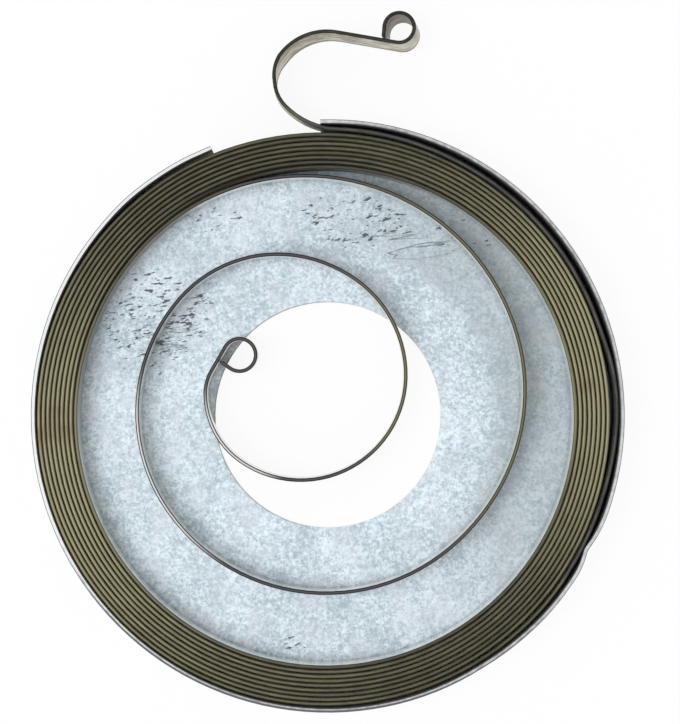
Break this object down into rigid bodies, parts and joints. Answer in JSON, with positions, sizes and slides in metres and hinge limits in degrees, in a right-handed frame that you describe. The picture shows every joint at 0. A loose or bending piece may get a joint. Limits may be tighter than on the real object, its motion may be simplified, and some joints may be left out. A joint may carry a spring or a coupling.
{
  "type": "recoil starter spring",
  "caption": "Flat spiral return spring for a pull starter, wound inside a shallow pressed steel drum, with a hooked outer end and an inner eye.",
  "frame": {"origin": "centre of the drum's hole, on the drum's underside", "axes": "+Z along the hole's axis, out of the drum's open side; the spring's outer end leaves the drum towards +Y"},
  "size_m": [0.07, 0.0827, 0.0084],
  "materials": {
    "case": "bright zinc-coated sheet",
    "strip": "tempered spring steel with an oil film"
  },
  "bodies": {
    "root": {"spring_case": "case", "spring_strip": "strip"}
  },
  "joints": []
}
